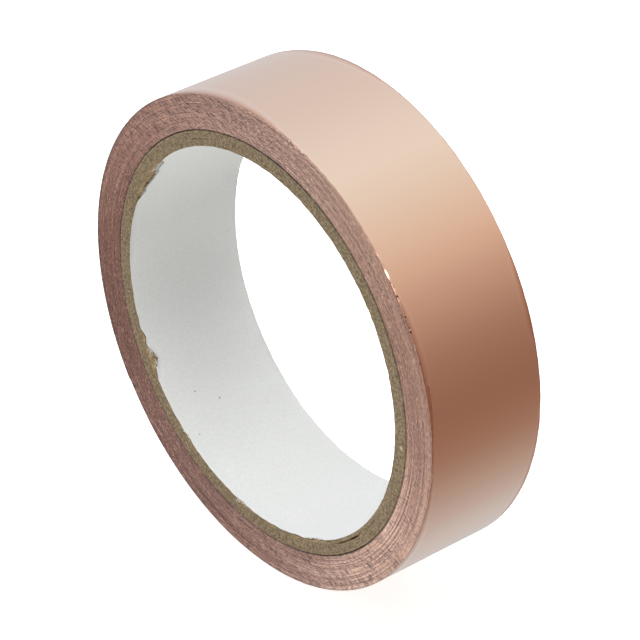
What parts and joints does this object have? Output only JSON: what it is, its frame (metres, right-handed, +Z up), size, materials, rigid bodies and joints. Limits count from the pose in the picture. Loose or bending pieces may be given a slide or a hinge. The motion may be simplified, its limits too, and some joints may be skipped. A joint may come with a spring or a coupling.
{
  "type": "copper foil tape roll",
  "caption": "Roll of self-adhesive copper foil tape wound on a paperboard core, standing on its rim, with a free end that lifts and peels off its release liner.",
  "frame": {"origin": "the point of the floor under the middle of the core's axis, with the roll standing on its rim", "axes": "+Y along the roll's own axis, from the side that faces the viewer to the far side; +Z up; the free end is on the -X side"},
  "size_m": [0.0961, 0.0254, 0.0961],
  "materials": {
    "core_face_paper": "matte",
    "core_chipboard": "matte",
    "starter_tape": "satin",
    "wound_tape_edge": "satin",
    "release_liner": "satin",
    "adhesive": "gloss",
    "copper_foil": "satin"
  },
  "bodies": {
    "roll": {"core_face_paper": "core_face_paper", "core_board_ply_1": "core_chipboard", "core_board_ply_2": "core_chipboard", "core_board_ply_3": "core_chipboard", "core_board_ply_4": "core_chipboard", "core_board_ply_5": "core_chipboard", "starter_tape": "starter_tape", "wound_turns": "wound_tape_edge", "last_turn_liner": "release_liner", "last_turn_adhesive": "adhesive", "last_turn_foil": "copper_foil"},
    "tail_1": {"tail_liner_1": "release_liner", "tail_adhesive_1": "adhesive", "tail_foil_1": "copper_foil"},
    "tail_2": {"tail_liner_2": "release_liner", "tail_adhesive_2": "adhesive", "tail_foil_2": "copper_foil"},
    "tail_3": {"tail_liner_3": "release_liner", "tail_adhesive_3": "adhesive", "tail_foil_3": "copper_foil"},
    "tail_4": {"tail_liner_4": "release_liner", "tail_adhesive_4": "adhesive", "tail_foil_4": "copper_foil"},
    "peel_1": {"peel_adhesive_1": "adhesive", "peel_foil_1": "copper_foil"},
    "peel_2": {"peel_adhesive_2": "adhesive", "peel_foil_2": "copper_foil"},
    "peel_3": {"peel_adhesive_3": "adhesive", "peel_foil_3": "copper_foil"}
  },
  "joints": [
    {"name": "tape_lift", "type": "hinge", "parent": "roll", "child": "tail_1", "pos_m": [-0.04645, 0, 0.06046], "axis": [0, 1, 0], "range_deg": [0, 20]},
    {"name": "tape_lift_2", "type": "hinge", "parent": "tail_1", "child": "tail_2", "pos_m": [-0.04791, 0, 0.0522], "axis": [0, 1, 0], "range_deg": [0, 20]},
    {"name": "tape_lift_3", "type": "hinge", "parent": "tail_2", "child": "tail_3", "pos_m": [-0.04791, 0, 0.04382], "axis": [0, 1, 0], "range_deg": [0, 20]},
    {"name": "tape_lift_4", "type": "hinge", "parent": "tail_3", "child": "tail_4", "pos_m": [-0.04646, 0, 0.03556], "axis": [0, 1, 0], "range_deg": [0, 20]},
    {"name": "foil_peel", "type": "hinge", "parent": "tail_4", "child": "peel_1", "pos_m": [-0.0452, 0, 0.03156], "axis": [0, 1, 0], "range_deg": [0, 40]},
    {"name": "foil_peel_2", "type": "hinge", "parent": "peel_1", "child": "peel_2", "pos_m": [-0.0436, 0, 0.02768], "axis": [0, 1, 0], "range_deg": [0, 40]},
    {"name": "foil_peel_3", "type": "hinge", "parent": "peel_2", "child": "peel_3", "pos_m": [-0.04166, 0, 0.02396], "axis": [0, 1, 0], "range_deg": [0, 40]}
  ],
  "couplings": [
    {"joint": "tape_lift_2", "follows": "tape_lift", "ratio": 1},
    {"joint": "tape_lift_3", "follows": "tape_lift", "ratio": 1},
    {"joint": "tape_lift_4", "follows": "tape_lift", "ratio": 1},
    {"joint": "foil_peel_2", "follows": "foil_peel", "ratio": 1},
    {"joint": "foil_peel_3", "follows": "foil_peel", "ratio": 1}
  ]
}
